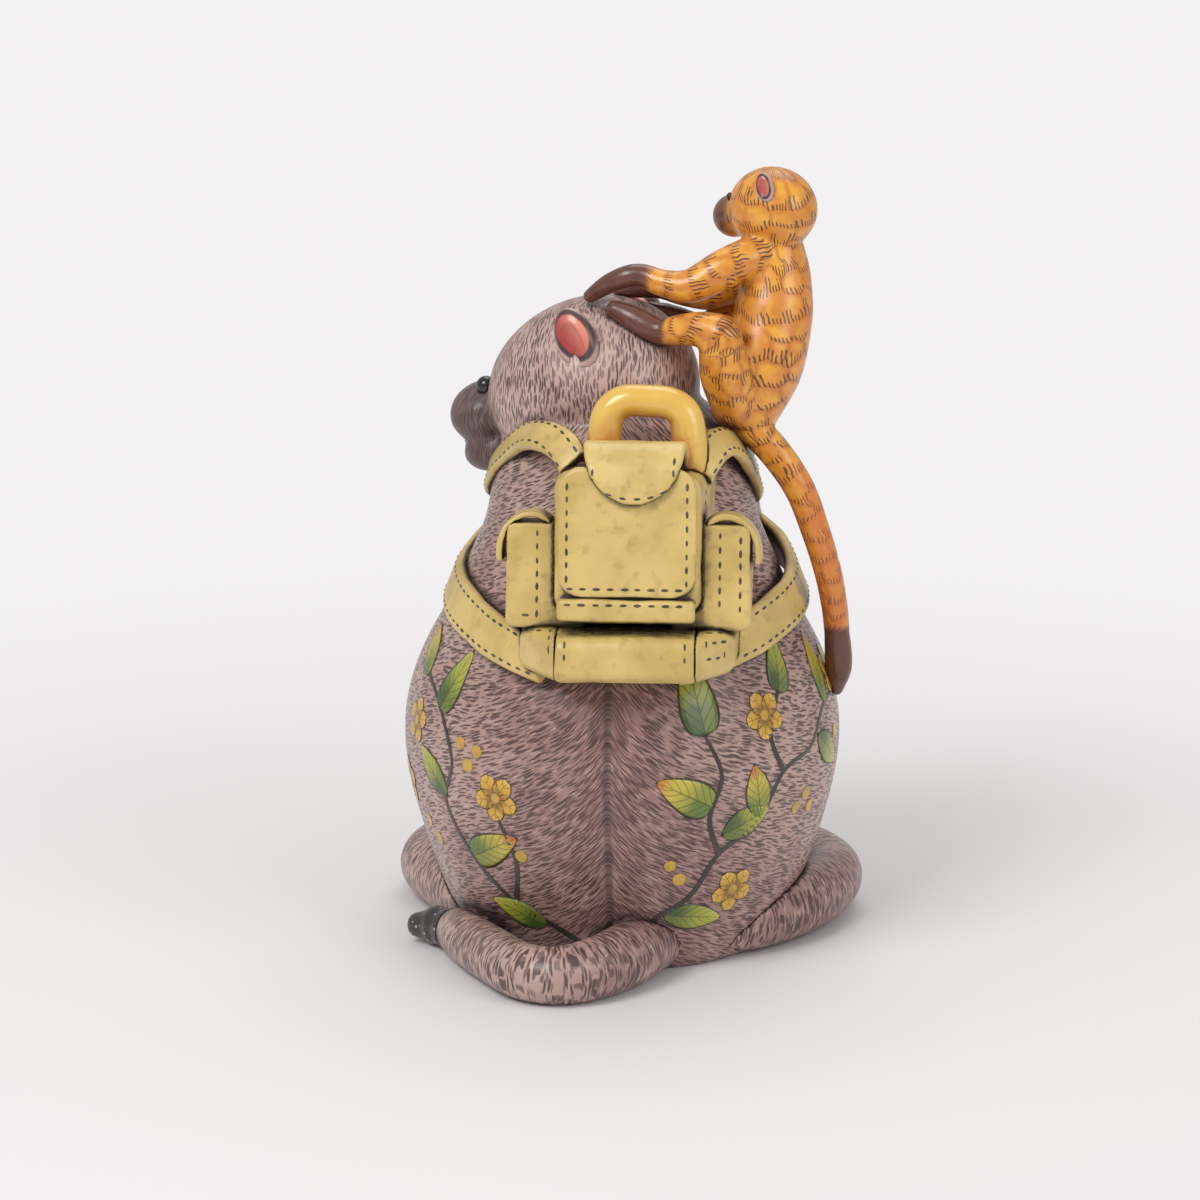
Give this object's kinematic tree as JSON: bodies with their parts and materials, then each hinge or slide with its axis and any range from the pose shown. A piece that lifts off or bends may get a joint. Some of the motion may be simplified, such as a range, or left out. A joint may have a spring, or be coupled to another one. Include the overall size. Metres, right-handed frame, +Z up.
{
  "type": "monkey figurine",
  "caption": "Hollow glazed ceramic figurine: a seated monkey with a stitched backpack, its tail curled on the ground, and a small spotted monkey on its shoulder holding its head.",
  "frame": {"origin": "Centre of the body's flat base, on the surface that the figurine stands on.", "axes": "+Z up along the turned body's axis; -Y towards the backpack, which the picture shows; +X to the right in the picture."},
  "size_m": [0.1216, 0.1446, 0.1979],
  "materials": {
    "grey_fur": "hand painted, satin glaze",
    "face": "hand painted, satin glaze",
    "ear_pink": "hand painted, satin glaze",
    "eye_dark": "hand painted, satin glaze",
    "tail_dark": "hand painted, satin glaze",
    "pack_green": "hand painted, satin glaze",
    "handle_yellow": "hand painted, satin glaze",
    "yellow_fur": "hand painted, satin glaze",
    "small_dark": "hand painted, satin glaze",
    "small_face": "hand painted, satin glaze"
  },
  "bodies": {
    "root": {"lower_body": "grey_fur", "upper_body": "grey_fur", "head": "grey_fur", "left_arm": "grey_fur", "left_forearm": "grey_fur", "right_arm": "grey_fur", "right_forearm": "grey_fur", "left_thigh": "grey_fur", "left_shin": "grey_fur", "right_thigh": "grey_fur", "right_shin": "grey_fur", "tail": "grey_fur", "left_hand": "grey_fur", "right_hand": "grey_fur", "left_foot": "grey_fur", "right_foot": "grey_fur", "muzzle": "face", "jaw": "face", "left_ear": "ear_pink", "right_ear": "ear_pink", "small_left_ear": "ear_pink", "small_right_ear": "ear_pink", "left_eye": "eye_dark", "right_eye": "eye_dark", "small_left_eye": "eye_dark", "small_right_eye": "eye_dark", "tail_tip": "tail_dark", "pack_pouch": "pack_green", "pack_front_panel": "pack_green", "pack_base_left": "pack_green", "pack_base_middle": "pack_green", "pack_base_right": "pack_green", "pack_lower_band": "pack_green", "pack_top_flap": "pack_green", "left_pocket": "pack_green", "right_pocket": "pack_green", "left_pocket_flap": "pack_green", "right_pocket_flap": "pack_green", "left_shoulder_strap": "pack_green", "right_shoulder_strap": "pack_green", "left_waist_strap": "pack_green", "right_waist_strap": "pack_green", "pack_handle": "handle_yellow", "small_body": "yellow_fur", "small_head": "yellow_fur", "small_left_arm": "yellow_fur", "small_right_arm": "yellow_fur", "small_left_thigh": "yellow_fur", "small_right_thigh": "yellow_fur", "small_left_shin": "yellow_fur", "small_right_shin": "yellow_fur", "small_tail": "yellow_fur", "small_left_hand": "small_dark", "small_right_hand": "small_dark", "small_left_foot": "small_dark", "small_right_foot": "small_dark", "small_tail_tuft": "small_dark", "small_muzzle": "small_face"}
  },
  "joints": []
}
